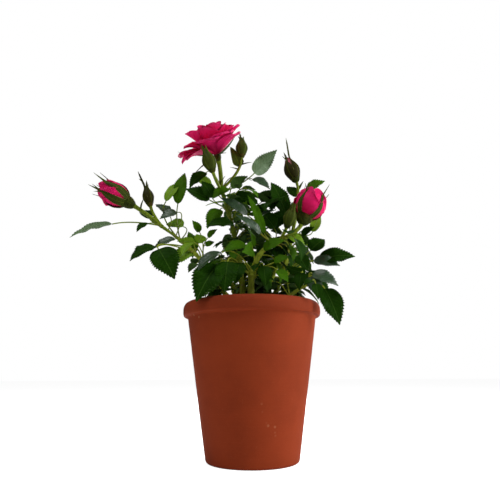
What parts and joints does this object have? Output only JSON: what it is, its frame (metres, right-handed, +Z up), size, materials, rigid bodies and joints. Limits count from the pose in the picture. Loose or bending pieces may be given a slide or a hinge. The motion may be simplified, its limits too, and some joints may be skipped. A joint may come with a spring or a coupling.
{
  "type": "potted rose bush",
  "caption": "Small rose bush with one open bloom and several buds on arching leafy canes, growing in a tapered clay pot with a raised rim band.",
  "frame": {"origin": "the middle of the pot's flat underside", "axes": "+Z up through the pot; the long low shoot with the half-open bud reaches toward -X, the open bloom stands over the middle; -Y is the side shown in the picture"},
  "size_m": [0.2463, 0.1439, 0.3056],
  "materials": {
    "clay": "unglazed, matt",
    "compost": "damp, crumbly",
    "cane": "smooth young bark",
    "leaf": "semi-gloss above, matt below",
    "petal": "soft satin"
  },
  "bodies": {
    "root": {"pot": "clay", "compost": "compost", "cane_left": "cane", "leaves_left": "leaf", "cane_tall": "cane", "leaves_tall": "leaf", "cane_front": "cane", "leaves_front": "leaf", "cane_right": "cane", "leaves_right": "leaf", "cane_low": "cane", "leaves_low": "leaf", "cane_rear_left": "cane", "leaves_rear_left": "leaf", "cane_rear_right": "cane", "leaves_rear_right": "leaf", "left_bud_petals": "petal", "right_bud_petals": "petal", "bloom_petals": "petal"}
  },
  "joints": []
}
